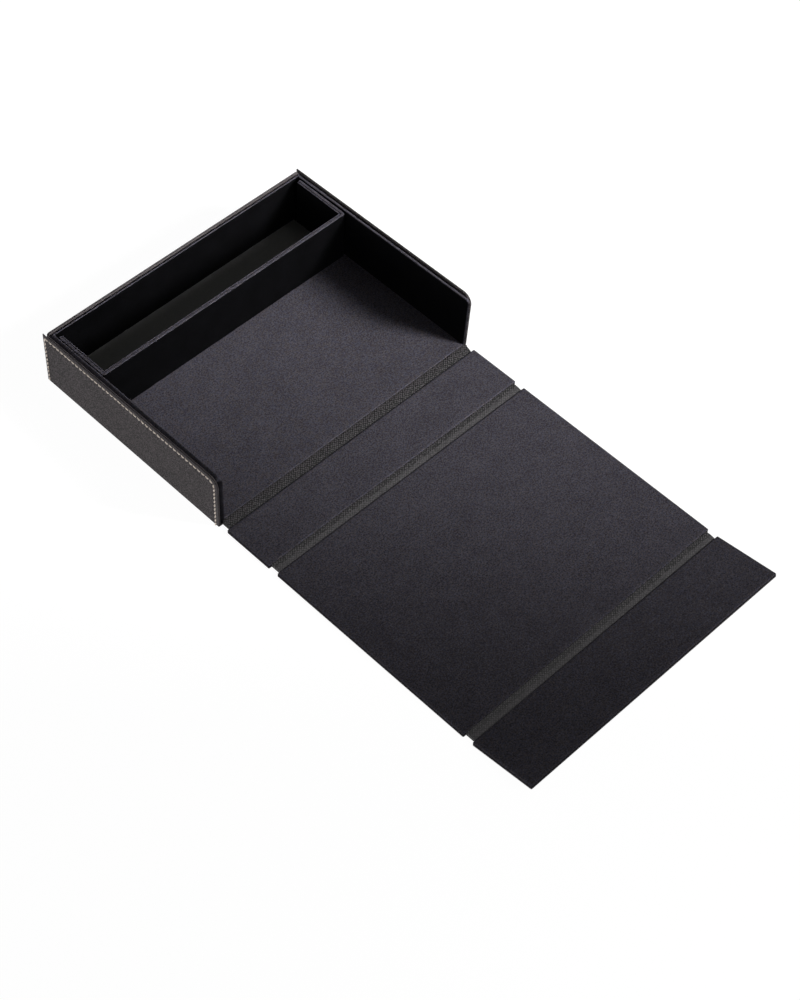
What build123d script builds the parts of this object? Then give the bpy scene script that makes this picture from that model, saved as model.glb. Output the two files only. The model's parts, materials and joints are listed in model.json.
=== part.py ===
"""Wrap-around dice box, shown open: a tray with three walls and a dice compartment,
and a cover of three panels that folds up over the front, the top and the rear.

Millimetres. Origin at the centre of the tray's underside, +X to the right,
+Y to the rear, +Z up. The open cover lies in front of the tray, along -Y.
"""

import os
from math import cos, radians, sin

from build123d import *

# Tray sizes
tray_width = 238.2          # across the leather sides
tray_depth = 176.2          # rear leather face to front edge of the base
wall_height = 48.0
side_board = 3.6            # side wall board with its suede wrap
rear_board = 2.8            # rear wall board with its suede wrap
base_board_thick = 3.3
wall_edge_radius = 0.9      # soft wrapped edges along the tops of the walls
front_corner_radius = 8.0   # rounded top front corner of each side leather
board_corner_radius = 3.5   # the board behind it is cut squarer
rear_flare = 1.8            # side leather standing out behind the rear wall

# Sheet materials
leather = 1.1
wall_leather = 2.1          # two layers sewn together, round the walls
suede = 0.4
floor_suede = 0.8           # floor suede on its thin backing card

# Leather bends and corners
bend_radius = 1.2           # outside of the bend along the bottom edges
foot_radius = 1.8           # bottom front corner of each leather side
floor_edge_radius = 0.9     # floor suede where it turns down at the front

# Compartment at the rear
divider_setback = 55.6      # rear leather face to the divider's front face
divider_board_thick = 1.4
divider_corner_radius = 2.0
divider_end_radius = 0.8    # wrapped rear ends of the arms
divider_edge_radius = 0.6   # wrapped top edges
divider_top_drop = 0.5      # divider top below the wall tops
divider_side_gap = 0.6      # between each divider arm and the side wall
divider_rear_gap = 3.0      # between the arm ends and the rear wall
liner_thick = 1.2
liner_glue_gap = 0.15       # slit seen along the top between divider and liner
liner_end_gap = 0.35        # slit between a side liner and the front liner
liner_top_drop = 0.2
liner_edge_radius = 0.4
compartment_floor_thick = 2.0
compartment_floor_clearance = 0.2

# Cover panels and the leather hinge strips between them
panel_board_thick = 2.1     # panel board with its suede wrap
panel_corner_radius = 0.9
panel_edge_radius = 0.6
front_strip = 6.9           # free width of each hinge strip, flat
lid_strip = 7.8
flap_strip = 7.9
strip_inset = 2.7           # strip ends short of the panel ends, each side
strip_lining = 0.7          # grained leather glued along the inside of a strip
flap_lift = 8.1             # angle at which the flap stands up from the table, degrees

# Closed box: how the panels sit round the tray
closed_gap = 0.4            # air between a closed panel and what it covers
nest_clearance = 0.3        # flap ends to the leather ears they fold between
front_fold_low = 4.9        # closed front panel, lower edge above the table
front_fold_high = 5.6       # closed front panel, upper edge below the lid's leather face
lid_front_setback = 1.7     # closed lid, front edge behind the tray's front edge
lid_rear_setback = 3.5      # closed lid, rear edge in front of the rear leather face
flap_fold_high = 0.8        # closed flap, upper edge below the lid's leather face
flap_foot_clearance = 0.3   # closed flap, lower edge above the table

# Magnets hidden in the flap and the rear wall
magnet_radius = 4.0
flap_magnet_thick = 1.0
rear_magnet_thick = 1.4
magnet_clearance = 0.1
magnet_spacing = 85.0
magnet_count = 3
magnet_height = 14.0        # above the table, box closed

# Places that follow from the sizes
rear_y = tray_depth / 2
front_y = -tray_depth / 2
side_x = tray_width / 2
ear_inner_x = side_x - leather
wall_outer_x = side_x - wall_leather
wall_inner_x = wall_outer_x - side_board
rear_outer_y = rear_y - wall_leather
rear_inner_y = rear_outer_y - rear_board
floor_z = leather + base_board_thick + floor_suede

panel_thick = leather + panel_board_thick
panel_width = 2 * (ear_inner_x - nest_clearance)
strip_width = panel_width - 2 * strip_inset
closed_top = wall_height + closed_gap + panel_thick
front_panel_length = closed_top - front_fold_low - front_fold_high
lid_length = tray_depth - lid_front_setback - lid_rear_setback
flap_length = closed_top - flap_fold_high - flap_foot_clearance

front_panel_y = front_y - front_strip
front_panel_end_y = front_panel_y - front_panel_length
lid_y = front_panel_end_y - lid_strip
lid_end_y = lid_y - lid_length
flap_y = lid_end_y - flap_strip

divider_front_y = rear_y - divider_setback
divider_rear_y = rear_inner_y - divider_rear_gap
divider_outer_x = wall_inner_x - divider_side_gap
divider_thick = divider_board_thick + 2 * suede
divider_top_z = wall_height - divider_top_drop
liner_outer_x = divider_outer_x - divider_thick - liner_glue_gap
liner_inner_x = liner_outer_x - liner_thick
liner_front_y = divider_front_y + divider_thick + liner_glue_gap
liner_back_y = liner_front_y + liner_thick
liner_top_z = divider_top_z - liner_top_drop


def fold_axis(beyond, above, strip):
    """Where a panel's hinge axis lies: distance past the fixed edge, and height.

    A quarter turn about it brings the panel's near leather edge to a point
    `beyond` past the fixed leather edge and `above` its leather face.
    """
    return (beyond - above + strip) / 2, (beyond + above - strip) / 2


def report_axis(label, fixed_y, past, height):
    """Print a hinge axis in the part's frame."""
    print(f"{label}: y {fixed_y - past:.3f}, z {height:.3f}")


front_past, front_height = fold_axis(closed_gap + panel_thick, front_fold_low, front_strip)
lid_past, lid_height = fold_axis(
    front_fold_high, closed_gap + panel_thick + lid_front_setback, lid_strip
)
flap_past, flap_height = fold_axis(
    lid_rear_setback + closed_gap + panel_thick, flap_fold_high, flap_strip
)
report_axis("front fold axis", front_y, front_past, front_height)
report_axis("lid fold axis", front_panel_end_y, lid_past, lid_height)
report_axis("flap fold axis", lid_end_y, flap_past, flap_height)


def flat_plane(near_y):
    """Plane under a panel lying open: its +Y points away from the tray."""
    return Plane(origin=(0, near_y, 0), x_dir=(-1, 0, 0), z_dir=(0, 0, 1))


def lifted_plane(near_y, axis_y, axis_z, angle):
    """The same plane after its panel has turned up about a hinge axis."""
    reach, rise = near_y - axis_y, -axis_z
    turn = radians(angle)
    origin = (
        0,
        axis_y + reach * cos(turn) + rise * sin(turn),
        axis_z - reach * sin(turn) + rise * cos(turn),
    )
    return Plane(origin=origin, x_dir=(-1, 0, 0), z_dir=(0, sin(turn), cos(turn)))


front_panel_plane = flat_plane(front_panel_y)
lid_plane = flat_plane(lid_y)
flap_plane = lifted_plane(flap_y, lid_end_y - flap_past, flap_height, flap_lift)

os.makedirs("parts", exist_ok=True)


def save(piece, name):
    """Label a finished piece and write its STEP file."""
    piece.part.label = name
    export_step(piece.part, f"parts/{name}.step")


# Leather cover of the tray: one sheet under the base, folded up both sides
with BuildPart() as tray_cover:
    with BuildSketch(Plane.XZ.offset(-rear_y - rear_flare)) as cover_section:
        with Locations((0, wall_height / 2)):
            Rectangle(tray_width, wall_height)
        fillet(cover_section.vertices().group_by(Axis.Y)[0], bend_radius)
        with Locations((0, leather)):
            Rectangle(
                2 * wall_outer_x, wall_height, align=(Align.CENTER, Align.MIN), mode=Mode.SUBTRACT
            )
    extrude(amount=tray_depth + rear_flare)
    top_front = tray_cover.edges().filter_by(Axis.X).group_by(Axis.Z)[-1].group_by(Axis.Y)[0]
    fillet(top_front, front_corner_radius)
    # Behind the rear face only the outer layer of each side stands out, as an ear
    with BuildSketch(Plane.XY):
        with Locations((0, rear_y)):
            Rectangle(2 * ear_inner_x, 2 * rear_flare, align=(Align.CENTER, Align.MIN))
    extrude(amount=wall_height, mode=Mode.SUBTRACT)
    # Rounded bottom front corner of each side
    with BuildSketch(Plane.YZ.offset(wall_outer_x)) as foot_waste:
        with Locations((front_y, 0)):
            Rectangle(foot_radius, foot_radius, align=(Align.MIN, Align.MIN))
        with Locations((front_y + foot_radius, foot_radius)):
            Circle(foot_radius, mode=Mode.SUBTRACT)
    extrude(amount=wall_leather, mode=Mode.SUBTRACT)
    with BuildSketch(Plane.YZ.offset(-wall_outer_x)):
        add(foot_waste.sketch_local)
    extrude(amount=-wall_leather, mode=Mode.SUBTRACT)
save(tray_cover, "tray_cover")

# Leather on the rear wall, from the base bend to the wall's top
with BuildPart() as rear_cover:
    with BuildSketch(Plane.YZ.offset(-wall_outer_x)) as rear_cover_section:
        with Locations((rear_outer_y, leather)):
            Rectangle(wall_leather, wall_height - leather, align=(Align.MIN, Align.MIN))
    extrude(amount=2 * wall_outer_x)
    fillet(rear_cover.edges().filter_by(Axis.X).sort_by(Axis.Z)[-2:], leather / 3)
save(rear_cover, "rear_cover")

# Base board between the walls, and the suede floor that turns down over its front
with BuildPart() as base_board:
    with BuildSketch(Plane.XY.offset(leather)):
        with Locations((0, rear_inner_y)):
            Rectangle(
                2 * wall_inner_x,
                rear_inner_y - front_y - floor_suede,
                align=(Align.CENTER, Align.MAX),
            )
    extrude(amount=base_board_thick)
save(base_board, "base_board")

with BuildPart() as floor_lining:
    with BuildSketch(Plane.YZ.offset(-wall_inner_x)):
        with Locations((front_y, leather)):
            Rectangle(rear_inner_y - front_y, floor_z - leather, align=(Align.MIN, Align.MIN))
        with Locations((front_y + floor_suede, leather)):
            Rectangle(
                rear_inner_y - front_y - floor_suede,
                base_board_thick,
                align=(Align.MIN, Align.MIN),
                mode=Mode.SUBTRACT,
            )
    extrude(amount=2 * wall_inner_x)
    front_edge = floor_lining.edges().filter_by(Axis.X).group_by(Axis.Y)[0].sort_by(Axis.Z)[-1]
    fillet(front_edge, floor_edge_radius)
save(floor_lining, "floor_lining")


def mitre_y(x):
    """Mitre line at the left rear corner, from the outer corner to the inner one."""
    return rear_outer_y - (x + wall_outer_x) * rear_board / side_board


def mitre_x(y):
    """The same line read the other way."""
    return -wall_outer_x + (rear_outer_y - y) * side_board / rear_board


def side_wall_blank(inset):
    """Left wall with its mitred rear end, drawn in by inset on every wrapped face."""
    outer_x, inner_x = -wall_outer_x + inset, -wall_inner_x - inset
    end_y = front_y + inset
    with BuildPart() as blank:
        with BuildSketch(Plane.XY.offset(leather)):
            with BuildLine():
                Polyline(
                    (outer_x, end_y),
                    (outer_x, mitre_y(outer_x)),
                    (inner_x, mitre_y(inner_x)),
                    (inner_x, end_y),
                    close=True,
                )
            make_face()
        extrude(amount=wall_height - leather - inset)
        corner = blank.edges().filter_by(Axis.X).group_by(Axis.Y)[0].sort_by(Axis.Z)[-1]
        fillet(corner, board_corner_radius - inset)
    return blank.part


def wrapped_edges(wall):
    """Long edges of a side wall: over the top, round the corner and down the front end."""
    flanks = wall.faces().filter_by(Axis.X).sort_by(Axis.X)
    return [
        edge
        for flank in (flanks[0], flanks[-1])
        for edge in flank.edges()
        if edge.center().Z > leather and edge.center().Y < rear_inner_y - side_board
    ]


def rear_wall_blank(inset):
    """Rear wall between its two mitres, drawn in by inset on every wrapped face."""
    outer_y, inner_y = rear_outer_y - inset, rear_inner_y + inset
    with BuildPart() as blank:
        with BuildSketch(Plane.XY.offset(leather)):
            with BuildLine():
                Polyline(
                    (mitre_x(outer_y), outer_y),
                    (-mitre_x(outer_y), outer_y),
                    (-mitre_x(inner_y), inner_y),
                    (mitre_x(inner_y), inner_y),
                    close=True,
                )
            make_face()
        extrude(amount=wall_height - leather - inset)
    return blank.part


side_core = side_wall_blank(suede)
rear_core = rear_wall_blank(suede)

# Side wall boards and the suede wrapped over their tops and front ends
with BuildPart() as left_wall_board:
    add(side_core)
save(left_wall_board, "left_wall_board")

with BuildPart() as left_wall_lining:
    add(side_wall_blank(0))
    fillet(wrapped_edges(left_wall_lining), wall_edge_radius)
    add(side_core, mode=Mode.SUBTRACT)
save(left_wall_lining, "left_wall_lining")

with BuildPart() as right_wall_board:
    mirror(side_core, about=Plane.YZ)
save(right_wall_board, "right_wall_board")

with BuildPart() as right_wall_lining:
    mirror(left_wall_lining.part, about=Plane.YZ)
save(right_wall_lining, "right_wall_lining")

# Rear wall board, with a pocket for each magnet in its outer side, and its suede
with BuildPart() as rear_wall_board:
    add(rear_core)
    with BuildSketch(Plane.XZ.offset(-rear_outer_y + suede)):
        with Locations((0, magnet_height)):
            with GridLocations(magnet_spacing, 1, magnet_count, 1):
                Circle(magnet_radius + magnet_clearance)
    extrude(amount=rear_magnet_thick, mode=Mode.SUBTRACT)
save(rear_wall_board, "rear_wall_board")

with BuildPart() as rear_wall_lining:
    add(rear_wall_blank(0))
    fillet(rear_wall_lining.edges().filter_by(Axis.X).group_by(Axis.Z)[-1], wall_edge_radius)
    add(rear_core, mode=Mode.SUBTRACT)
save(rear_wall_lining, "rear_wall_lining")

with BuildPart() as rear_magnets:
    with BuildSketch(Plane.XZ.offset(-rear_outer_y + suede)):
        with Locations((0, magnet_height)):
            with GridLocations(magnet_spacing, 1, magnet_count, 1):
                Circle(magnet_radius)
    extrude(amount=rear_magnet_thick)
save(rear_magnets, "rear_magnets")


def divider_blank(inset):
    """U-shaped divider, front wall and two arms, drawn in by inset on wrapped faces."""
    outer_x, front = divider_outer_x - inset, divider_front_y + inset
    inner_x, back = divider_outer_x - divider_thick + inset, divider_front_y + divider_thick - inset
    ends = divider_rear_y - inset
    with BuildPart() as blank:
        with BuildSketch(Plane.XY.offset(floor_z)) as plan:
            with Locations((0, front)):
                Rectangle(2 * outer_x, ends - front, align=(Align.CENTER, Align.MIN))
            fillet(plan.vertices().group_by(Axis.Y)[0], divider_corner_radius - inset)
            with Locations((0, back)):
                Rectangle(
                    2 * inner_x, ends - back, align=(Align.CENTER, Align.MIN), mode=Mode.SUBTRACT
                )
        extrude(amount=divider_top_z - floor_z - inset)
    return blank.part


# Divider: a folded board wrapped in suede, lined inside with three wrapped cards
divider_core = divider_blank(suede)

with BuildPart() as divider_board:
    add(divider_core)
save(divider_board, "divider_board")

with BuildPart() as divider_wrap:
    add(divider_blank(0))
    fillet(divider_wrap.edges().filter_by(Axis.Z).group_by(Axis.Y)[-1], divider_end_radius)
    fillet(divider_wrap.faces().sort_by(Axis.Z)[-1].edges(), divider_edge_radius)
    add(divider_core, mode=Mode.SUBTRACT)
save(divider_wrap, "divider_wrap")

with BuildPart() as divider_front_liner:
    with BuildSketch(Plane.XY.offset(floor_z)):
        with Locations((0, liner_front_y)):
            Rectangle(2 * liner_outer_x, liner_thick, align=(Align.CENTER, Align.MIN))
    extrude(amount=liner_top_z - floor_z)
    fillet(divider_front_liner.faces().sort_by(Axis.Z)[-1].edges(), liner_edge_radius)
save(divider_front_liner, "divider_front_liner")

with BuildPart() as divider_left_liner:
    with BuildSketch(Plane.XY.offset(floor_z)):
        with Locations((-liner_outer_x, liner_back_y + liner_end_gap)):
            Rectangle(
                liner_thick,
                divider_rear_y - suede - liner_back_y - liner_end_gap,
                align=(Align.MIN, Align.MIN),
            )
    extrude(amount=liner_top_z - floor_z)
    fillet(divider_left_liner.faces().sort_by(Axis.Z)[-1].edges(), liner_edge_radius)
save(divider_left_liner, "divider_left_liner")

with BuildPart() as divider_right_liner:
    mirror(divider_left_liner.part, about=Plane.YZ)
save(divider_right_liner, "divider_right_liner")

# Matte card on the floor of the compartment, between the liners and the rear wall
with BuildPart() as compartment_floor:
    with BuildSketch(Plane.XY.offset(floor_z)):
        with Locations((0, liner_back_y + compartment_floor_clearance)):
            Rectangle(
                2 * (liner_inner_x - compartment_floor_clearance),
                rear_inner_y - liner_back_y - 2 * compartment_floor_clearance,
                align=(Align.CENTER, Align.MIN),
            )
    extrude(amount=compartment_floor_thick)
save(compartment_floor, "compartment_floor")


def panel_outline(plane, length, inset):
    """Plan outline of a cover panel, from its near edge outwards along the plane's +Y."""
    with BuildSketch(plane) as outline:
        with Locations((0, length / 2)):
            RectangleRounded(
                panel_width - 2 * inset, length - 2 * inset, panel_corner_radius - inset
            )
    return outline.sketch


def raised(plane, height):
    """A parallel plane, higher above the panel's leather face."""
    return plane.offset(height)


magnet_reach = flap_length - (magnet_height - flap_foot_clearance)
panels = {
    "front_panel": (front_panel_plane, front_panel_length),
    "lid": (lid_plane, lid_length),
    "flap": (flap_plane, flap_length),
}
core_thick = panel_board_thick - suede

# Cover panels: outer leather, board core, and a suede cap over face and edges
for name, (plane, length) in panels.items():
    with BuildPart() as panel_cover:
        extrude(panel_outline(plane, length, 0), amount=leather)
    save(panel_cover, f"{name}_cover")

    with BuildPart() as panel_core:
        extrude(panel_outline(raised(plane, leather), length, suede), amount=core_thick)
        if name == "flap":
            with BuildSketch(raised(plane, leather + core_thick)):
                with Locations((0, magnet_reach)):
                    with GridLocations(magnet_spacing, 1, magnet_count, 1):
                        Circle(magnet_radius + magnet_clearance)
            extrude(amount=-flap_magnet_thick, mode=Mode.SUBTRACT)
    save(panel_core, f"{name}_board")

    with BuildPart() as panel_lining:
        extrude(panel_outline(raised(plane, leather), length, 0), amount=panel_board_thick)
        face = panel_lining.faces().sort_by(Axis(plane.origin, plane.z_dir))[-1]
        fillet(face.edges(), panel_edge_radius)
        extrude(
            panel_outline(raised(plane, leather), length, suede),
            amount=core_thick,
            mode=Mode.SUBTRACT,
        )
    save(panel_lining, f"{name}_lining")

with BuildPart() as flap_magnets:
    with BuildSketch(raised(flap_plane, leather + core_thick)):
        with Locations((0, magnet_reach)):
            with GridLocations(magnet_spacing, 1, magnet_count, 1):
                Circle(magnet_radius)
    extrude(amount=-flap_magnet_thick)
save(flap_magnets, "flap_magnets")


def edge_point(plane, height):
    """A point on a panel's near end face, in the side view's Y and Z."""
    point = plane.offset(height).origin
    return point.Y, point.Z


# Hinge strips: the outer leather carried on between two panels, lined inside
strips = {
    "front_hinge": (front_y, front_panel_plane),
    "lid_hinge": (front_panel_end_y, lid_plane),
    "flap_hinge": (lid_end_y, flap_plane),
}
for name, (fixed_y, plane) in strips.items():
    for layer, low, high in (("cover", 0, leather), ("lining", leather, leather + strip_lining)):
        with BuildPart() as strip:
            with BuildSketch(Plane.YZ.offset(-strip_width / 2)):
                with BuildLine():
                    Polyline(
                        (fixed_y, low),
                        edge_point(plane, low),
                        edge_point(plane, high),
                        (fixed_y, high),
                        close=True,
                    )
                make_face()
            extrude(amount=strip_width)
        save(strip, f"{name}_{layer}")
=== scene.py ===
# %% [markdown]
# # A wrap-around dice box in leather and suede
# The box stands open on a white table. Its floor, divider, boards and magnets come from the packed
# CAD model, which is the fixed frame. This script dresses them, and builds again in a finer form
# what is soft: the leather sides with their rounded rims and sewn seam, the suede wraps that roll
# over the wall tops, the cover panels, and hinge strips fine enough to bend where the cover folds.
# Everything is in metres, with +Z up, +Y to the rear of the tray and the open cover along -Y.

import json
from math import atan2, cos, pi, radians, sin, sqrt

import bmesh
import bpy
from mathutils import Matrix, Vector


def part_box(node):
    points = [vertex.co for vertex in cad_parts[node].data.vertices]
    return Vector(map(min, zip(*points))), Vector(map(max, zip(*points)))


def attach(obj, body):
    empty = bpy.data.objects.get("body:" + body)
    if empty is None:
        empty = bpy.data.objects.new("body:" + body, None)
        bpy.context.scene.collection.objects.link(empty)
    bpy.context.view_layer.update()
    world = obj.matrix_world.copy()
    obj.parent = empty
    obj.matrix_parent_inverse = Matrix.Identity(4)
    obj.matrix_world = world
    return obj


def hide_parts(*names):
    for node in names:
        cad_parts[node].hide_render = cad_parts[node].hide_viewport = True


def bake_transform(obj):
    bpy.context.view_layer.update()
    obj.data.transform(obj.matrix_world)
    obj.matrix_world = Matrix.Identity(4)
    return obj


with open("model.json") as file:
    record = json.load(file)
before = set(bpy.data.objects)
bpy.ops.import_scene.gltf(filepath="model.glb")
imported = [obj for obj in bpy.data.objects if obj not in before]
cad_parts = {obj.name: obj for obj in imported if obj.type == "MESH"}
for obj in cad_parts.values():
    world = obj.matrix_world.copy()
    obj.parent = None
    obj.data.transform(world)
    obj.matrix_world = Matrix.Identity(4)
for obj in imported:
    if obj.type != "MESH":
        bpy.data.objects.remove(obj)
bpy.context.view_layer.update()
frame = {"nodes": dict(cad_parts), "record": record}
MM = 0.001
nodes = frame["nodes"]
slot_of = {part["node"]: part["material_slot"] for part in frame["record"]["subparts"]}
print("CAD pieces:", len(nodes))

# %% [markdown]
# ## Colour and node helpers
# Colours are written as the sRGB hex values that a paint chip would show, and turned to linear
# light once, here. One small function adds a shader node, sets its values and joins its links, so
# each material below reads as a short recipe.

# %% Colour and node helpers
def linear(hex_colour):
    """An sRGB hex colour as linear RGBA."""
    parts = [int(hex_colour[i : i + 2], 16) / 255 for i in (1, 3, 5)]
    return (*(c / 12.92 if c <= 0.04045 else ((c + 0.055) / 1.055) ** 2.4 for c in parts), 1.0)


def add(tree, kind, settings=None, **links):
    """Add a node of this kind. Settings go to attributes or sockets, links come from sockets."""
    node = tree.nodes.new("ShaderNode" + kind)
    for name, value in (settings or {}).items():
        if isinstance(name, str) and hasattr(node, name):
            setattr(node, name, value)
        else:
            node.inputs[name].default_value = value
    for name, source in links.items():
        target = int(name[1:]) if name[0] == "i" and name[1:].isdigit() else name.replace("_", " ")
        tree.links.new(source, node.inputs[target])
    return node


def new_material(name):
    """An empty node material and its Principled shader."""
    material = bpy.data.materials.new(name)
    material.use_nodes = True
    return material, material.node_tree, material.node_tree.nodes["Principled BSDF"]


def per_mm(size_mm):
    """Texture scale at which one feature is this many millimetres across."""
    return 1000 / size_mm


def span(low, high, start=0.0, end=1.0):
    """Map Range settings: low..high of the input becomes start..end."""
    return {"From Min": low, "From Max": high, "To Min": start, "To Max": end}


# %% [markdown]
# ## Pebbled leather
# The outside is split leather with an embossed pebble grain and a satin finish. Embossing leaves
# rounded islands with fine creases between them, and pulling the sheet over the boards stretches
# them into faint slanted wrinkles. The islands are a Voronoi pattern and the wrinkles are noise
# squeezed in one direction. The colour is also darker in the creases, which is painted shade.
# The hinge leather inside has a stamped grain instead, dots in diagonal rows, with the same painted
# shade in them. Folding has pressed them flatter on the outer half of a strip, and that half is also
# painted lighter, with paler creases: painted light. The strip next to the tray is painted darker
# all over: painted shade.
# A real pebble is about a millimetre across and is drawn so. The real dots are finer than that,
# less than a pixel, so they are drawn 1.5 mm apart. Where a rim was pressed and burnished, the same
# leather is smoother and more even.

# %% Pebbled leather
WRINKLE_LEAN = -35
WRINKLE_WIDTH = 0.6
WRINKLE_SQUEEZE = 0.4
DOT_FLATTEN = 0.15
DOT_LEVEL = -0.35
DRIFT_MM = 40


def leather_material(name, hexes, grain_mm, height_mm, wrinkle, crease, shine, dots=False):
    """Embossed leather: rounded islands or rows of dots, wrinkles, a slow drift of tone, and painted
    shade in the creases.
    """
    material, tree, shader = new_material(name)
    place = add(tree, "TexCoord").outputs["Object"]
    if dots:
        settings = {
            "Rotation": (0, 0, radians(45)),
            "Scale": [per_mm(grain_mm) * stretch for stretch in (1, 1, DOT_FLATTEN)],
            "Location": (0, 0, DOT_LEVEL),
        }
        lattice = add(tree, "Mapping", settings, Vector=place).outputs["Vector"]
        island = add(tree, "TexVoronoi", {"Scale": 1.0, "Randomness": 0.3}, Vector=lattice)
    else:
        settings = {"Scale": per_mm(grain_mm), "Randomness": 0.8}
        island = add(tree, "TexVoronoi", settings, Vector=place)
    leaning = add(tree, "Mapping", {"Rotation": (radians(WRINKLE_LEAN), 0, 0)}, Vector=place)
    squeezed = add(
        tree, "Mapping", {"Scale": (1.0, 1.0, WRINKLE_SQUEEZE)}, Vector=leaning.outputs["Vector"]
    ).outputs["Vector"]
    wrinkles = add(
        tree, "TexNoise", {"Scale": per_mm(WRINKLE_WIDTH * grain_mm), "Detail": 2.0}, Vector=squeezed
    ).outputs["Fac"]
    relief = add(
        tree, "MixRGB", {"Fac": wrinkle}, Color1=island.outputs["Distance"], Color2=wrinkles
    ).outputs["Color"]
    depth = add(tree, "MapRange", span(*crease), Value=relief).outputs["Result"]
    # The colour darkens towards the second colour in the creases: painted shade.
    tone = add(
        tree, "MixRGB", {"Color1": linear(hexes[0]), "Color2": linear(hexes[1])}, Fac=depth
    ).outputs["Color"]
    drift = add(
        tree, "TexNoise", {"Scale": per_mm(DRIFT_MM), "Detail": 3.0}, Vector=place
    ).outputs["Fac"]
    shade = add(tree, "MapRange", span(0.3, 0.7, 0.9, 1.08), Value=drift).outputs["Result"]
    coloured = add(
        tree, "MixRGB", {"blend_type": "MULTIPLY", "Fac": 1.0}, Color1=tone, Color2=shade
    ).outputs["Color"]
    tree.links.new(coloured, shader.inputs["Base Color"])
    bump = add(
        tree, "Bump", {"invert": True, "Strength": 1.0, "Distance": height_mm * MM}, Height=depth
    ).outputs["Normal"]
    tree.links.new(bump, shader.inputs["Normal"])
    shader.inputs["Roughness"].default_value = 0.62
    shader.inputs["IOR"].default_value = 1.5
    shader.inputs["Specular IOR Level"].default_value = shine
    return material


pebbled_leather = leather_material(
    "pebbled_leather_embossed_satin",
    ("#534D4F", "#1A1718"),
    grain_mm=1.0,
    height_mm=0.3,
    wrinkle=0.8,
    crease=(0.43, 0.6),
    shine=0.15,
)
pressed_leather = leather_material(
    "pebbled_leather_pressed_rim",
    ("#4A4547", "#363334"),
    grain_mm=1.0,
    height_mm=0.02,
    wrinkle=0.8,
    crease=(0.42, 0.62),
    shine=0.2,
)
hinge_leather = leather_material(
    "hinge_leather_embossed_dots",
    ("#545153", "#030303"),
    grain_mm=1.5,
    height_mm=0.2,
    wrinkle=0.1,
    crease=(0.25, 0.5),
    shine=0.3,
    dots=True,
)
# Copy for the outer half of a strip: its flatter bump is real; its lighter tone and paler creases are
# painted light.
flattened_leather_painted_light = leather_material(
    "hinge_leather_flattened_dots_painted_light",
    ("#595658", "#262526"),
    grain_mm=1.5,
    height_mm=0.08,
    wrinkle=0.3,
    crease=(0.2, 0.6),
    shine=0.3,
    dots=True,
)
# Copy for the strip next to the tray, darker all over: painted shade.
hinge_leather_painted_shade = leather_material(
    "hinge_leather_dots_painted_shade",
    ("#464345", "#030303"),
    grain_mm=1.5,
    height_mm=0.2,
    wrinkle=0.1,
    crease=(0.25, 0.5),
    shine=0.15,
    dots=True,
)
leathers = [pebbled_leather, pressed_leather, hinge_leather, flattened_leather_painted_light, hinge_leather_painted_shade]
print("leathers:", [leather.name for leather in leathers])

# %% [markdown]
# ## Microfibre suede
# The inside is lined with microfibre suede, a non-woven cloth whose surface is sanded to a short
# nap. Over floors, panels and the tops of walls, which face up, it has its grey tone. Upright faces
# are given a nearly black tone instead, which is painted shade. So one recipe holds both tones and
# turns from one to the other with the piece's own direction, which moves with the piece. Specks are
# fibre tufts of two dyes, blue-grey and brown-grey. A real tuft is finer than a pixel here, so the
# specks are drawn about a millimetre wide. A second copy, put on the rims of the wall wraps and panel
# caps, has a lighter painted shade, so that even an upright part of a rim stays grey.

# %% Microfibre suede
TUFT_MM = 1.0
BRUSH_MM = 16


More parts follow.
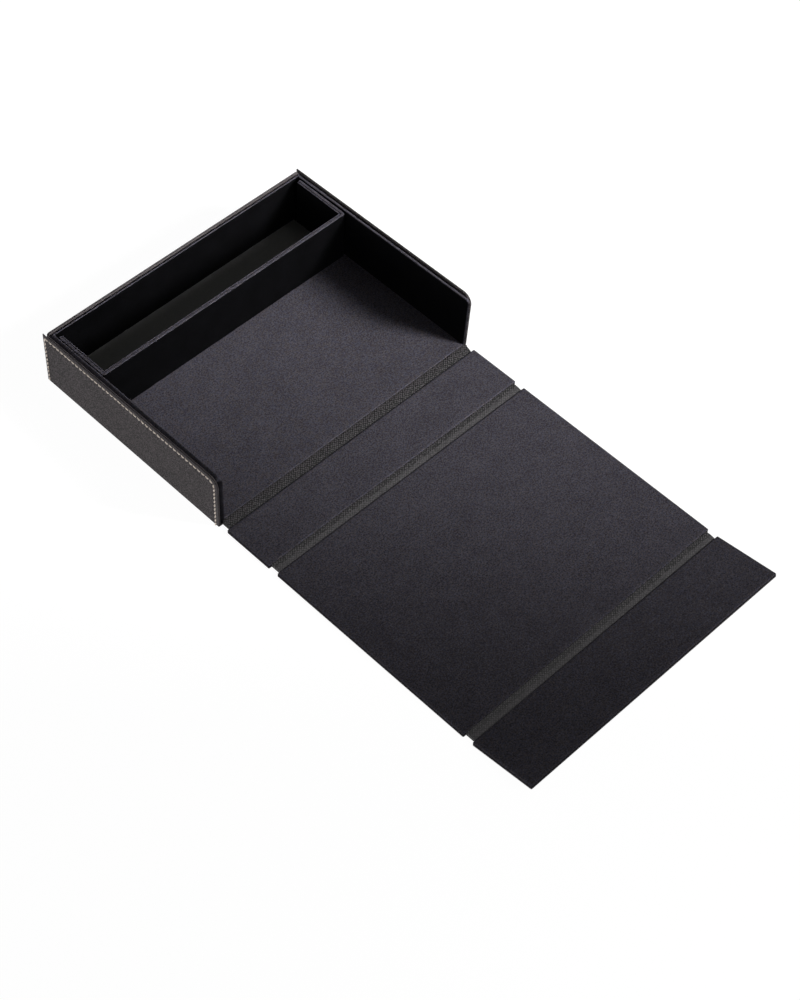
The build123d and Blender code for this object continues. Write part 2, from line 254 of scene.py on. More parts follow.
def suede_material(name, light_hex, dark_hex, cool_hex, warm_hex, upright_painted_shade_hex):
    """Sanded microfibre: two dyes of tuft, brushed patches, and painted shade on upright faces."""
    material, tree, shader = new_material(name)
    texture = add(tree, "TexCoord")
    place = texture.outputs["Object"]
    tufts = add(
        tree, "TexNoise", {"Scale": per_mm(TUFT_MM), "Detail": 2.0, "Roughness": 0.7}, Vector=place
    ).outputs["Fac"]
    dyes = add(
        tree, "TexNoise", {"Scale": per_mm(1.3 * TUFT_MM), "Detail": 1.0}, Vector=place
    ).outputs["Color"]
    dye = add(tree, "SeparateColor", Color=dyes).outputs["Green"]
    brushed = add(
        tree, "TexNoise", {"Scale": per_mm(BRUSH_MM), "Detail": 4.0, "Roughness": 0.6}, Vector=place
    ).outputs["Fac"]
    speck = add(tree, "MapRange", span(0.3, 0.7), Value=tufts).outputs["Result"]
    grey = add(
        tree, "MixRGB", {"Color1": linear(dark_hex), "Color2": linear(light_hex)}, Fac=speck
    ).outputs["Color"]
    which = add(tree, "MapRange", span(0.4, 0.6), Value=dye).outputs["Result"]
    dyed = add(
        tree, "MixRGB", {"Color1": linear(cool_hex), "Color2": linear(warm_hex)}, Fac=which
    ).outputs["Color"]
    heather = add(
        tree, "MixRGB", {"blend_type": "OVERLAY", "Fac": 0.6}, Color1=grey, Color2=dyed
    ).outputs["Color"]
    patch = add(tree, "MapRange", span(0.3, 0.7, 0.9, 1.1), Value=brushed).outputs["Result"]
    flat = add(
        tree, "MixRGB", {"blend_type": "MULTIPLY", "Fac": 1.0}, Color1=heather, Color2=patch
    ).outputs["Color"]
    streaks = add(tree, "MapRange", span(0.3, 0.7, 0.55, 1.5), Value=brushed).outputs["Result"]
    mottle = add(tree, "MapRange", span(0.3, 0.7, 0.6, 1.4), Value=tufts).outputs["Result"]
    # Upright faces get this nearly black tone: painted shade.
    settings = {"blend_type": "MULTIPLY", "Fac": 1.0, "Color1": linear(upright_painted_shade_hex)}
    upright_painted_shade = add(tree, "MixRGB", settings, Color2=streaks).outputs["Color"]
    upright_painted_shade = add(
        tree, "MixRGB", {"blend_type": "MULTIPLY", "Fac": 1.0}, Color1=upright_painted_shade, Color2=mottle
    ).outputs["Color"]
    # Faces that point up take the grey; upright faces take the painted shade.
    rise = add(tree, "SeparateXYZ", Vector=texture.outputs["Normal"]).outputs["Z"]
    facing_up = add(
        tree, "MapRange", {"interpolation_type": "SMOOTHSTEP", **span(0.15, 0.8)}, Value=rise
    ).outputs["Result"]
    coloured = add(tree, "MixRGB", Fac=facing_up, Color1=upright_painted_shade, Color2=flat).outputs["Color"]
    tree.links.new(coloured, shader.inputs["Base Color"])
    bump = add(tree, "Bump", {"Strength": 0.7, "Distance": 0.12 * MM}, Height=tufts).outputs["Normal"]
    tree.links.new(bump, shader.inputs["Normal"])
    shader.inputs["Roughness"].default_value = 0.95
    shader.inputs["Specular IOR Level"].default_value = 0.03
    shader.inputs["Sheen Weight"].default_value = 0.005
    shader.inputs["Sheen Roughness"].default_value = 0.45
    shader.inputs["Sheen Tint"].default_value = linear("#9C9CB0")
    return material


suede = suede_material(
    "microfibre_suede_sanded", "#6A686F", "#343338", "#7F8194", "#8C8078", "#040405"
)
# Copy for the rims: its upright tone is a lighter painted shade.
suede_lighter_painted_shade = suede_material(
    "microfibre_suede_lighter_painted_shade", "#6A686F", "#343338", "#7F8194", "#8C8078", "#201F23"
)
print("suedes:", suede.name, suede_lighter_painted_shade.name)

# %% [markdown]
# ## Card, board, thread and magnets
# The compartment floor is a smooth dyed card, so it has almost no grain. The boards and magnets are
# hidden inside the wraps, but they get their real finish too, because the model is also used in
# other scenes. The sewing thread is bonded polyester, twisted from plies: fine slanted bands.

# %% Card, board, thread and magnets
def card_material():
    """Dyed card, calendered smooth: matt, with a trace of fibre."""
    material, tree, shader = new_material("dyed_card_calendered")
    place = add(tree, "TexCoord").outputs["Object"]
    fibre = add(tree, "TexNoise", {"Scale": per_mm(1.1), "Detail": 3.0}, Vector=place).outputs["Fac"]
    tone = add(
        tree, "MixRGB", {"Color1": linear("#5F5F5D"), "Color2": linear("#6E6E6C")}, Fac=fibre
    ).outputs["Color"]
    tree.links.new(tone, shader.inputs["Base Color"])
    bump = add(tree, "Bump", {"Strength": 0.3, "Distance": 0.02 * MM}, Height=fibre).outputs["Normal"]
    tree.links.new(bump, shader.inputs["Normal"])
    shader.inputs["Roughness"].default_value = 0.8
    shader.inputs["Specular IOR Level"].default_value = 0.2
    return material


def board_material():
    """Greyboard: pressed waste paper with visible flecks."""
    material, tree, shader = new_material("greyboard_pressed")
    place = add(tree, "TexCoord").outputs["Object"]
    fleck = add(tree, "TexNoise", {"Scale": per_mm(1.2), "Detail": 6.0}, Vector=place).outputs["Fac"]
    tone = add(
        tree, "MixRGB", {"Color1": linear("#8A847A"), "Color2": linear("#A39C90")}, Fac=fleck
    ).outputs["Color"]
    tree.links.new(tone, shader.inputs["Base Color"])
    shader.inputs["Roughness"].default_value = 0.9
    return material


def magnet_material():
    """Nickel plate over a pressed neodymium disc."""
    material, tree, shader = new_material("nickel_plated_magnet")
    place = add(tree, "TexCoord").outputs["Object"]
    haze = add(tree, "TexNoise", {"Scale": per_mm(0.4), "Detail": 2.0}, Vector=place).outputs["Fac"]
    rough = add(tree, "MapRange", {"To Min": 0.22, "To Max": 0.34}, Value=haze).outputs["Result"]
    tree.links.new(rough, shader.inputs["Roughness"])
    shader.inputs["Base Color"].default_value = linear("#C9C4BA")
    shader.inputs["Metallic"].default_value = 1.0
    return material


def thread_material():
    """Bonded polyester thread: slanted plies, slightly waxy."""
    material, tree, shader = new_material("bonded_polyester_thread")
    place = add(tree, "TexCoord").outputs["Object"]
    plies = add(
        tree,
        "TexWave",
        {"wave_type": "BANDS", "bands_direction": "DIAGONAL", "Scale": per_mm(3)},
        Vector=place,
    ).outputs["Fac"]
    tone = add(
        tree, "MixRGB", {"Color1": linear("#E2D2C4"), "Color2": linear("#FCF0E4")}, Fac=plies
    ).outputs["Color"]
    tree.links.new(tone, shader.inputs["Base Color"])
    shader.inputs["Roughness"].default_value = 0.6
    return material


matte_card = card_material()
greyboard = board_material()
nickel = magnet_material()
thread = thread_material()
print("other finishes:", matte_card.name, greyboard.name, nickel.name, thread.name)

# %% [markdown]
# ## Dressing the CAD pieces
# The floor, the divider and its liners, the base and panel boards and the magnets already have their
# true shape, so they keep it and only get a finish. The others are built again further on, and the
# new pieces take their place.

# %% Dressing the CAD pieces
slot_finish = {
    "outer_leather": pebbled_leather,
    "hinge_leather": hinge_leather,
    "suede": suede,
    "greyboard": greyboard,
    "matte_card": matte_card,
    "magnet": nickel,
}
for name, piece in nodes.items():
    piece.data.materials.clear()
    piece.data.materials.append(slot_finish[slot_of[name]])
print("dressed", len(nodes), "CAD pieces")

# %% [markdown]
# ## Plates with a rolled rim
# Every sheet that is folded over an edge ends in a small round, never in a sharp corner: a leather
# layer in a round as wide as itself, and a wrapped board in a roll of suede. Such a plate is built
# as a stack of rings. Each ring follows the outline at one depth across the plate, drawn in by the
# roundness there, and the first and last rings are closed as the plate's two faces.

# %% Plates with a rolled rim
RIM_TURNS = 5
SLOPE_POWER = 1.2
SAME_PLACE = 0.01 * MM
SHARP_ANGLE = 42


def rim(low, high, low_round, high_round, slope=False):
    """Pairs of depth across the plate and draw-in, from one face over the rim to the other.

    A round is its width across the plate and its draw-in. With slope, the second one falls away
    from the crest almost straight, as cloth does that is pulled down behind a board.
    """
    pairs, back = [], []
    for i in range(RIM_TURNS + 1):
        angle = i * pi / 2 / RIM_TURNS
        out, drop = 1 - cos(angle), 1 - sin(angle)
        pairs.append((low + low_round[0] * out, low_round[1] * drop))
        if slope:
            out, drop = i / RIM_TURNS, (1 - i / RIM_TURNS) ** SLOPE_POWER
        back.append((high - high_round[0] * out, high_round[1] * drop))
    back.reverse()
    if abs(back[0][0] - pairs[-1][0]) < SAME_PLACE:
        back = back[1:]
    return pairs + back


def new_piece(name, bm, finishes, body, replaced):
    """Turn a bmesh into a finished piece that rides on a body and stands for CAD nodes."""
    bmesh.ops.recalc_face_normals(bm, faces=bm.faces)
    mesh = bpy.data.meshes.new(name)
    bm.to_mesh(mesh)
    bm.free()
    mesh.shade_smooth()
    mesh.set_sharp_from_angle(angle=radians(SHARP_ANGLE))
    for face in mesh.polygons:
        face.use_smooth = len(face.vertices) <= 4
    for material in finishes:
        mesh.materials.append(material)
    piece = bpy.data.objects.new(name, mesh)
    bpy.context.scene.collection.objects.link(piece)
    if body:
        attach(piece, body)
    if replaced:
        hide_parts(*replaced)
    print(name, len(mesh.polygons), "faces")
    return piece


def rolled_plate(bm, pairs, path, place, rim_material=0):
    """Add a plate: path(inset, across) gives its outline, place() puts a point in the room.

    The rim takes the piece's material of that number, and the two faces take the first.
    """
    rings = []
    for across, inset in pairs:
        rings.append([bm.verts.new(place(across, a, b)) for a, b in path(inset, across)])
    count = len(rings[0])
    for one, two in zip(rings, rings[1:]):
        for k in range(count):
            n = (k + 1) % count
            bm.faces.new((one[k], one[n], two[n], two[k])).material_index = rim_material
    bm.faces.new(rings[0])
    bm.faces.new(rings[-1][::-1])


def arc(centre_a, centre_b, radius, start, end, steps=8):
    """Points of an arc, from a start angle to an end angle in degrees."""
    points = []
    for i in range(steps + 1):
        angle = radians(start + (end - start) * i / steps)
        points.append((centre_a + radius * cos(angle), centre_b + radius * sin(angle)))
    return points


# %% [markdown]
# ## Sizes of the tray
# No size is typed in twice: the CAD pieces give them. Only one thing is added here, the right
# wall's lean. On the real box it has opened out by about two and a half millimetres at its front
# top corner, as board walls do when they are held only at the floor and at the rear corner.

# %% Sizes of the tray
leather_low, leather_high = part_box("tray_cover")
side_lining_low, side_lining_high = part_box("right_wall_lining")
rear_lining_low, rear_lining_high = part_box("rear_wall_lining")
side_x, top_z = leather_high.x, leather_high.z
front_y, ear_y = leather_low.y, leather_high.y
wall_in_x, wall_out_x = side_lining_low.x, side_lining_high.x
rear_in_y, rear_out_y = rear_lining_low.y, rear_lining_high.y
rear_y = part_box("rear_cover")[1].y
base_z = side_lining_low.z
layer_x = (side_x + wall_out_x) / 2
LEAN_FRONT = 2.5 * MM
LEAN_FROM = wall_in_x - 0.1 * MM


def lean(x, y, z):
    """The right wall opens out towards its front top corner."""
    if x < LEAN_FROM:
        return x
    forward = (rear_y - y) / (rear_y - front_y)
    return x + LEAN_FRONT * max(forward, 0) * z / top_z


print(f"leather side {1000 * (ear_y - front_y):.1f} x {1000 * top_z:.1f} mm")
print(f"leather {1000 * (side_x - wall_out_x):.2f} mm in two layers")

# %% [markdown]
# ## The leather sides
# The leather goes up the side, over the rim and down again inside, so two layers stand against each
# other and a fine parting line runs along the rim. At the rear only the outer layer goes on, as a
# small ear past the rear wall. Each layer is its own plate with a rounded rim. From the seam on, the
# outer one falls in towards the rim, where the thread pulls it down, and at its foot it turns under
# the base. The right side's leather ends a little behind the front of its wall.

# %% The leather sides
LEATHER_CORNER = 8.0 * MM
EAR_CORNER = 0.8 * MM
FOOT_RADIUS = 1.8 * MM
SEAM_SLOPE = (0.75 * MM, 2.3 * MM)
LAYER_ROUND = (0.5 * MM, 1.0 * MM)
SET_BACK = {"left": 0.0, "right": 1.6 * MM}
RIM_FINISH = {"left": pressed_leather, "right": pebbled_leather}


def side_path(rear_at, front, foot_at, top, corner, rear_corner=0.0):
    """Outline of an upright plate in side view: up the rear, along the top, down the front."""

    def path(inset, across):
        rear, foot = rear_at(across) - (inset if rear_corner else 0), foot_at(across)
        points = [(rear, foot)]
        if rear_corner:
            points += arc(rear - rear_corner, top - inset - rear_corner, rear_corner, 0, 90, 4)
        else:
            points.append((rear, top - inset))
        points += arc(front + corner, top - corner, corner - inset, 90, 180, 12)
        return points + [(front + inset, foot)]

    return path


def side_place(sign):
    """Put a point of a side plate in the room, on the left or the right."""
    return lambda across, y, z: Vector((lean(sign * across, y, z), y, z))


def at_base(across):
    """Foot of what stands on the base leather."""
    return base_z


def outer_foot(across):
    """Height where the outer layer turns under: a quarter round."""
    reach = FOOT_RADIUS - (side_x - across)
    return FOOT_RADIUS - sqrt(max(FOOT_RADIUS**2 - max(reach, 0) ** 2, 0))


for label, sign in (("left", -1), ("right", 1)):
    front = front_y + SET_BACK[label]
    bm = bmesh.new()
    path = side_path(lambda across: ear_y, front, outer_foot, top_z, LEATHER_CORNER, EAR_CORNER)
    rolled_plate(bm, rim(layer_x, side_x, LAYER_ROUND, SEAM_SLOPE), path, side_place(sign), 1)
    path = side_path(lambda across: rear_out_y, front, at_base, top_z, LEATHER_CORNER)
    rolled_plate(bm, rim(wall_out_x, layer_x, LAYER_ROUND, LAYER_ROUND), path, side_place(sign), 1)
    skins = [pebbled_leather, RIM_FINISH[label]]
    new_piece(f"{label}_side_leather", bm, skins, "tray", ["tray_cover"])

# %% [markdown]
# ## The leather under the base and on the rear wall
# The base leather is the same sheet, lying flat between the two sides. The rear wall's leather is
# turned in at its top as the sides are, so it also shows two layers. Its top corners are rounded and
# its ends stop short of the ears, which leaves the small notch at each rear corner.

# %% The leather under the base and on the rear wall
def base_path(inset, across):
    """The base leather seen from above."""
    side, front, rear = layer_x - inset, front_y + inset, rear_y - inset
    return [(-side, front), (side, front), (side, rear), (-side, rear)]


bm = bmesh.new()
pairs = rim(0, base_z, LAYER_ROUND, LAYER_ROUND)
rolled_plate(bm, pairs, base_path, lambda across, x, y: Vector((x, y, across)))
new_piece("base_leather", bm, [pebbled_leather], "tray", ["tray_cover"])


def rear_path(end_at, foot, top, corner=0.0):
    """Outline of a rear plate seen from behind: up one end, along the top, down the other."""

    def path(inset, across):
        end = end_at(across) - (inset if corner else 0)
        if not corner:
            return [(-end, foot), (-end, top - inset), (end, top - inset), (end, foot)]
        left = arc(-end + corner, top - inset - corner, corner, 180, 90, 4)
        right = arc(end - corner, top - inset - corner, corner, 90, 0, 4)
        return [(-end, foot), *left, *right, (end, foot)]

    return path


def rear_place(across, x, z):
    """Put a point of a rear plate in the room."""
    return Vector((x, across, z))


REAR_CORNER = 1.6 * MM
REAR_NOTCH = 0.4 * MM
rear_layer_y = (rear_out_y + rear_y) / 2
path = rear_path(lambda across: wall_out_x - REAR_NOTCH, base_z, top_z, REAR_CORNER)
bm = bmesh.new()
for low, high in ((rear_out_y, rear_layer_y), (rear_layer_y, rear_y)):
    rolled_plate(bm, rim(low, high, LAYER_ROUND, LAYER_ROUND), path, rear_place, 1)
new_piece("rear_leather", bm, [pebbled_leather, pressed_leather], "tray", ["rear_cover"])

# %% [markdown]
# ## The wrapped walls
# Each wall is a board wrapped in suede. The cloth rolls tightly over the inner edge of the board and
# is pulled down behind it, so the top of a wall is a thin crest on the inside that falls away
# outwards into a groove along the leather. The walls meet at the rear in mitres. The boards inside
# are drawn in a little, so that the cloth has room.

# %% The wrapped walls
BOARD_CORNER = 3.5 * MM
CREST = (0.7 * MM, 0.7 * MM)
FALL = 2.5 * MM
WRAP = 0.5 * MM
BOARD_ROUND = (0.3 * MM, 0.3 * MM)
side_half = (wall_out_x - wall_in_x) / 2
rear_half = (rear_out_y - rear_in_y) / 2


def mitre_y(across):
    """Where a side wall ends at its mitre."""
    return rear_in_y + (across - wall_in_x) * rear_half / side_half


def mitre_x(across):
    """Where the rear wall ends at its mitre."""
    return wall_in_x + (across - rear_in_y) * side_half / rear_half


def wrap_rim(low, high):
    """Rim of a wrapped wall: a tight roll inside, then the fall to the outside."""
    return rim(low, high, CREST, (high - low - CREST[0], FALL), slope=True)


def core_rim(low, high):
    """Rim of the board inside a wrap, which leaves the cloth its room."""
    return rim(low + WRAP, high - WRAP, BOARD_ROUND, BOARD_ROUND)


def core_end(end_at):
    """Where the board inside a wrap ends, given where the wrap ends."""
    return lambda across: end_at(across) - WRAP


core_top = top_z - FALL
for label, sign in (("left", -1), ("right", 1)):
    bm = bmesh.new()
    path = side_path(mitre_y, front_y, at_base, top_z, BOARD_CORNER)
    rolled_plate(bm, wrap_rim(wall_in_x, wall_out_x), path, side_place(sign), 1)
    new_piece(f"{label}_wall_wrap", bm, [suede, suede_lighter_painted_shade], "tray", [f"{label}_wall_lining"])
    bm = bmesh.new()
    path = side_path(core_end(mitre_y), front_y + FALL, at_base, core_top, BOARD_CORNER)
    rolled_plate(bm, core_rim(wall_in_x, wall_out_x), path, side_place(sign))
    new_piece(f"{label}_wall_core", bm, [greyboard], "tray", [f"{label}_wall_board"])

bm = bmesh.new()
path = rear_path(mitre_x, base_z, top_z)
rolled_plate(bm, wrap_rim(rear_in_y, rear_out_y), path, rear_place, 1)
new_piece("rear_wall_wrap", bm, [suede, suede_lighter_painted_shade], "tray", ["rear_wall_lining"])
bm = bmesh.new()
path = rear_path(core_end(mitre_x), base_z, core_top)
rolled_plate(bm, core_rim(rear_in_y, rear_out_y), path, rear_place)
new_piece("rear_wall_core", bm, [greyboard], "tray", ["rear_wall_board"])

# %% [markdown]
# ## The cover panels
# Each panel is a leather sheet, a board, and a suede cap that is turned down over the board's
# edges. Its edges are soft: the cap rounds over and stops just inside the leather, so a thin leather
# line runs round every panel. The flap doesn't lie flat but stands up a little from its strip, so
# each panel is built in its own plane, which is worked out from the box round the CAD piece. A few
# rounds of correction are enough, because the sheet is thin and the angle small.

# %% The cover panels
CAP_ROUND = (0.8 * MM, 1.4 * MM)
CAP_FOOT = (0.3 * MM, 0.1 * MM)
CAP_INSET = 0.1 * MM
COVER_ROUND = (0.4 * MM, 0.2 * MM)
PANEL_CORNER = (0.9 * MM, 0.3 * MM)
CORRECTIONS = 20
leather_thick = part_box("lid_cover")[1].z
cap_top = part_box("lid_lining")[1].z


def panel_plane(name):
    """Lower near edge, direction outwards, normal, length and half width of a panel's leather."""
    low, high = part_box(f"{name}_cover")
    reach, rise = high.y - low.y, high.z - low.z
    angle = 0.0
    for _ in range(CORRECTIONS):
        angle = atan2(rise - leather_thick * cos(angle), reach - leather_thick * sin(angle))
    length = (reach - leather_thick * sin(angle)) / cos(angle)
    foot = Vector((0, high.y - leather_thick * sin(angle), low.z))
    outwards, normal = Vector((0, -cos(angle), sin(angle))), Vector((0, sin(angle), cos(angle)))
    return foot, outwards, normal, length, high.x


def panel_path(half, length):
    """Outline of a panel in its plane. Its corners get tighter as the rim draws in."""

    def path(inset, across):
        radius = max(PANEL_CORNER[0] - inset, PANEL_CORNER[1])
        side, near, far = half - inset - radius, inset + radius, length - inset - radius
        points = []
        for middle, start in (
            ((side, far), 0),
            ((-side, far), 90),
            ((-side, near), 180),
            ((side, near), 270),
        ):
            points += arc(*middle, radius, start, start + 90, 4)
        return points

    return path


def panel_place(foot, outwards, normal):
    """Put a point of a panel in the room."""
    return lambda across, x, along: foot + Vector((x, 0, 0)) + outwards * along + normal * across


for name in ("front_panel", "lid", "flap"):
    foot, outwards, normal, length, half = panel_plane(name)
    path, place = panel_path(half, length), panel_place(foot, outwards, normal)
    bm = bmesh.new()
    rolled_plate(bm, rim(0, leather_thick, COVER_ROUND, COVER_ROUND), path, place, 1)
    new_piece(f"{name}_leather", bm, [pebbled_leather, pressed_leather], name, [f"{name}_cover"])
    bm = bmesh.new()
    cap = rim(leather_thick, cap_top, CAP_FOOT, CAP_ROUND)
    rolled_plate(bm, [(across, CAP_INSET + inset) for across, inset in cap], path, place, 1)
    new_piece(f"{name}_cap", bm, [suede, suede_lighter_painted_shade], name, [f"{name}_lining"])

# %% [markdown]
# ## Hinge strips
# A strip is one skin of leather outside and one inside, glued together between two panels. The inner
# skin has to reach round the fold, so in the open box it has length to spare and swells up between
# the panels, almost to their tops. It lies lower along its outer edge. It is modelled as a fine grid
# across the fold, fine enough to turn smoothly between the panels. It is narrower than the panels,
# so the fold shows as a small notch at each end.

# %% Hinge strips
STRIP_STEPS = 16
STRIP_RUNS = 40
STRIP_SINK = (0.5 * MM, 1.1 * MM)
STRIP_CROWN = 0.5 * MM
CROWN_POWER = 0.7


def strip_mesh(low, high, tops=None):
    """A closed slab between two corners, fine enough to bend. With tops, it swells between them."""
    bm = bmesh.new()
    rows = []
    ends = [top - sink for top, sink in zip(tops, STRIP_SINK)] if tops else [high.z, high.z]
    crown = STRIP_CROWN if tops else 0
    for i in range(STRIP_STEPS + 1):
        t = i / STRIP_STEPS
        y = high.y + (low.y - high.y) * t
        over_z = ends[0] + (ends[1] - ends[0]) * t + crown * sin(pi * t) ** CROWN_POWER
        for z in (low.z, over_z):
            rows.append(
                [
                    bm.verts.new((low.x + (high.x - low.x) * j / STRIP_RUNS, y, z))
                    for j in range(STRIP_RUNS + 1)
                ]
            )
    for i in range(STRIP_STEPS):
        under, over = rows[2 * i], rows[2 * i + 1]
        next_under, next_over = rows[2 * i + 2], rows[2 * i + 3]
        for j in range(STRIP_RUNS):
            face = bm.faces.new((over[j], over[j + 1], next_over[j + 1], next_over[j]))
            face.material_index = 1 if 2 * i >= STRIP_STEPS else 0
            bm.faces.new((under[j], next_under[j], next_under[j + 1], under[j + 1]))
        bm.faces.new((under[0], over[0], next_over[0], next_under[0]))
        bm.faces.new((under[-1], next_under[-1], next_over[-1], over[-1]))
    for j in range(STRIP_RUNS):
        bm.faces.new((rows[0][j], rows[0][j + 1], rows[1][j + 1], rows[1][j]))
        bm.faces.new((rows[-2][j], rows[-1][j], rows[-1][j + 1], rows[-2][j + 1]))
    return bm


hinges = {
    "front_hinge": ("tray", "front_panel"),
    "lid_hinge": ("front_panel", "lid"),
    "flap_hinge": ("lid", "flap"),
}
floor_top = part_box("floor_lining")[1].z
for hinge, (fixed, moving) in hinges.items():
    tops = [floor_top if fixed == "tray" else cap_top, cap_top]
    # The strip at the tray takes the darker copy, whose darkness is painted shade; the others take
    # the plain copy and, on their outer half, the lighter copy, whose lightness is painted light.
    insides = [hinge_leather_painted_shade] * 2 if fixed == "tray" else [hinge_leather, flattened_leather_painted_light]
    for layer, skins in (("cover", [pebbled_leather] * 2), ("lining", insides)):
        low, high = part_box(f"{hinge}_{layer}")
        bm = strip_mesh(low, high, tops if layer == "lining" else None)
        piece = new_piece(f"{hinge}_{layer}_bent", bm, skins, None, [f"{hinge}_{layer}"])
        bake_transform(piece)

# %% [markdown]
# ## The seam round each leather side
# Each side is sewn along its rear, top and front edges and left plain along the bottom fold. A
# lockstitch shows as a row of short, slightly slanted dashes that dive into the leather at both
# ends. The row is laid out by walking along the seam line at the stitch pitch.

# %% The seam line and its stitches
STITCH_PITCH = 4.0 * MM
STITCH_LENGTH = 3.1 * MM
STITCH_SLANT = 0.5 * MM
THREAD_RADIUS = 0.64 * MM
THREAD_FLAT = 0.7
THREAD_TIP = 0.55
SEAM_INSET = 2.6 * MM
SEAM_FOOT = 1.5 * MM
THREAD_SIDES = 8
THREAD_RINGS = 7


def seam_line(front):
    """Points of the seam in side view: up the rear edge, along the top, down the front."""
    rear, front = ear_y - SEAM_INSET, front + SEAM_INSET
    top = top_z - SEAM_INSET
    bend = LEATHER_CORNER - SEAM_INSET
    line = [(rear, SEAM_FOOT), (rear, top)]
    line += arc(front + bend, top - bend, bend, 90, 180, 12)
    return [Vector(point) for point in line + [(front, SEAM_FOOT)]]


def walk(points, pitch):
    """Places at even steps along a line of points, each with its direction."""
    places, left = [], 0.5 * pitch
    for a, b in zip(points, points[1:]):
        run = (b - a).length
        while left <= run:
            places.append((a + (b - a) * (left / run), (b - a).normalized()))
            left += pitch
        left -= run
    return places


def add_stitch(bm, centre, along, across, out):
    """One dash of thread that rises out of the leather and dives back in."""
    rings = []
    for i in range(THREAD_RINGS):
        t = i / (THREAD_RINGS - 1)
        reach = (t - 0.5) * STITCH_LENGTH
        lift = (sin(pi * t) ** 0.5 - 0.5) * THREAD_FLAT * THREAD_RADIUS
        middle = centre + along * reach + across * (STITCH_SLANT * (t - 0.5)) + out * lift
        radius = THREAD_RADIUS * (THREAD_TIP + (1 - THREAD_TIP) * sin(pi * t) ** 0.5)
        ring = []
        for k in range(THREAD_SIDES):
            angle = 2 * pi * k / THREAD_SIDES
            offset = across * cos(angle) + out * (THREAD_FLAT * sin(angle))
            ring.append(bm.verts.new(middle + offset * radius))
        rings.append(ring)
    for a, b in zip(rings, rings[1:]):
        for k in range(THREAD_SIDES):
            n = (k + 1) % THREAD_SIDES
            bm.faces.new((a[k], a[n], b[n], b[k]))
    bm.faces.new(rings[0][::-1])
    bm.faces.new(rings[-1])


for label, sign in (("left", -1), ("right", 1)):
    bm = bmesh.new()
    out = Vector((sign, 0, 0))
    for spot, direction in walk(seam_line(front_y + SET_BACK[label]), STITCH_PITCH):
        along = Vector((0, direction.x, direction.y))
        centre = Vector((lean(sign * side_x, spot.x, spot.y), spot.x, spot.y))
        add_stitch(bm, centre, along, along.cross(out), out)
    new_piece(f"{label}_seam_thread", bm, [thread], "tray", [])

# %% [markdown]
# ## The table, the light and the camera
# A product shot on white. The key light is a softbox with a grid, to the right and towards the
# front. The grid keeps its light nearly parallel, so shadows inside the tray stay deep, and it is
# aimed at the rear right of the box, so the light falls off towards the left and the front. The
# table shows white to the camera and bounces light onto the leather sides as a real one does.

# %% The table
TABLE_WHITE = (0.8, 0.8, 0.8, 1)
SHADOW_WHITE = (0.12, 0.12, 0.12, 1)
SHOWN_GLOW = 0.97


def floor_material():
    """Pale table: mostly white to the camera, with the real shadow on top."""
    material, tree, shader = new_material("white_laminate_table")
    tree.nodes.remove(shader)
    path = add(tree, "LightPath")
    rays = [path.outputs[kind] for kind in ("Is Camera Ray", "Is Glossy Ray")]
    seen = add(tree, "Math", {"operation": "MAXIMUM"}, i0=rays[0], i1=rays[1]).outputs[0]
    matt = add(tree, "BsdfDiffuse", {"Color": TABLE_WHITE}).outputs[0]
    thin = add(tree, "BsdfDiffuse", {"Color": SHADOW_WHITE}).outputs[0]
    glow = add(tree, "Emission", {"Color": (1, 1, 1, 1), "Strength": SHOWN_GLOW}).outputs[0]
    shown = add(tree, "AddShader", i0=thin, i1=glow).outputs[0]
    final = add(tree, "MixShader", i0=seen, i1=matt, i2=shown).outputs[0]
    tree.links.new(final, tree.nodes["Material Output"].inputs["Surface"])
    return material


FLOOR_HALF = 3.0
FLOOR_DROP = 0.2 * MM
floor_mesh = bpy.data.meshes.new("table_top")
corners = [(-1, -1), (1, -1), (1, 1), (-1, 1)]
floor_mesh.from_pydata(
    [(x * FLOOR_HALF, y * FLOOR_HALF, -FLOOR_DROP) for x, y in corners], [], [(0, 1, 2, 3)]
)
floor = bpy.data.objects.new("table_top", floor_mesh)
bpy.context.scene.collection.objects.link(floor)
floor_mesh.materials.append(floor_material())
print("table", 2 * FLOOR_HALF, "m wide")

# %% The light
WORLD_FILL = 0.04


def toward(azimuth, elevation):
    """Direction to a lamp: degrees to the right of the front, and degrees above the table."""
    a, e = radians(azimuth), radians(elevation)
    return Vector((sin(a) * cos(e), -cos(a) * cos(e), sin(e)))


def softbox(name, azimuth, elevation, distance, wide, tall, watts, spread=180, shift=(0, 0)):
    """A rectangular softbox that looks at the tray, moved aside by shift in its own plane."""
    back = toward(azimuth, elevation)
    right = Vector((0, 0, 1)).cross(back).normalized()
    up = back.cross(right)
    lamp = bpy.data.lights.new(name, "AREA")
    lamp.shape = "RECTANGLE"
    lamp.size, lamp.size_y = wide, tall
    lamp.energy = watts
    lamp.spread = radians(spread)
    holder = bpy.data.objects.new(name, lamp)
    centre = back * distance + right * shift[0] + up * shift[1]
    holder.matrix_world = Matrix.Translation(centre) @ Matrix((right, up, back)).transposed().to_4x4()
    bpy.context.scene.collection.objects.link(holder)


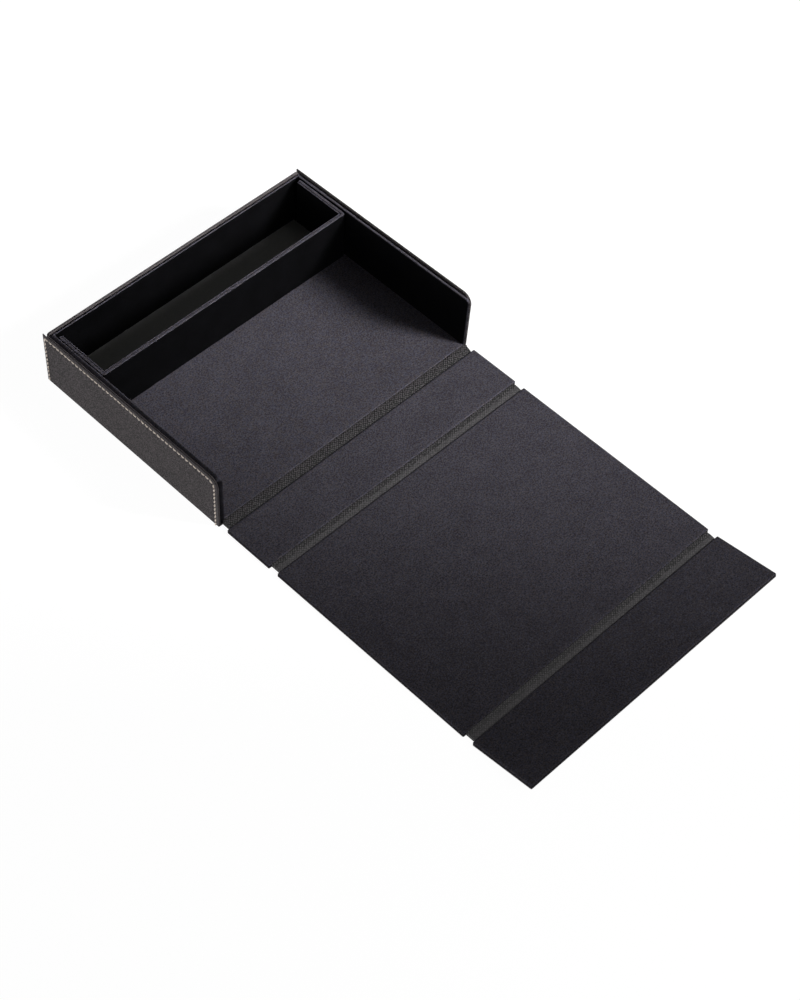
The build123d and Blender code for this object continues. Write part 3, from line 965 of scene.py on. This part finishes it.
softbox(
    "key_softbox",
    azimuth=31,
    elevation=28,
    distance=1.15,
    wide=0.61,
    tall=0.453,
    watts=1.95,
    spread=25,
    shift=(0.2, 0.066),
)
softbox(
    "top_softbox", azimuth=31, elevation=56, distance=1.6, wide=0.5, tall=0.5, watts=0.12, spread=60
)
softbox("side_fill", azimuth=-90, elevation=4.5, distance=1.6, wide=1.2, tall=0.12, watts=9.5)
softbox("front_fill", azimuth=-5, elevation=25, distance=0.85, wide=0.5, tall=0.1, watts=0.6)

world = bpy.data.worlds.new("studio")
world.use_nodes = True
bpy.context.scene.world = world
sky = world.node_tree
background = sky.nodes["Background"]
rays = add(sky, "LightPath").outputs
seen = rays["Is Camera Ray"]
for kind in ("Is Transmission Ray", "Is Glossy Ray"):
    seen = add(sky, "Math", {"operation": "MAXIMUM"}, i0=seen, i1=rays[kind]).outputs[0]
strength = add(sky, "MapRange", {"To Min": WORLD_FILL, "To Max": 1.0}, Value=seen).outputs["Result"]
sky.links.new(strength, background.inputs["Strength"])
background.inputs["Color"].default_value = (1, 1, 1, 1)

# %% The camera
CAMERA_PLACE = Vector((-0.7097, -0.7998, 1.2172))
CAMERA_YAW = 47.12
CAMERA_PITCH = 52.06
CAMERA_ROLL = 3.13
CAMERA_LENS = 82.4
SENSOR_HEIGHT = 36


def camera_axes(yaw, pitch, roll):
    """Right, up and back of a camera turned to yaw, tipped down by pitch, then rolled."""
    ahead = Vector((sin(yaw), cos(yaw), 0))
    right = Vector((cos(yaw), -sin(yaw), 0))
    forward = ahead * cos(pitch) - Vector((0, 0, sin(pitch)))
    up = ahead * sin(pitch) + Vector((0, 0, cos(pitch)))
    return right * cos(roll) + up * sin(roll), up * cos(roll) - right * sin(roll), -forward


axes = camera_axes(radians(CAMERA_YAW), radians(CAMERA_PITCH), radians(CAMERA_ROLL))
camera_data = bpy.data.cameras.new("photo_camera")
camera_data.lens = CAMERA_LENS
camera_data.sensor_fit = "VERTICAL"
camera_data.sensor_height = SENSOR_HEIGHT
camera = bpy.data.objects.new("photo_camera", camera_data)
camera.matrix_world = Matrix.Translation(CAMERA_PLACE) @ Matrix(axes).transposed().to_4x4()
bpy.context.scene.collection.objects.link(camera)
bpy.context.scene.camera = camera
bpy.context.scene.view_settings.view_transform = "Standard"
print("camera at", [round(c, 3) for c in camera.matrix_world.translation])
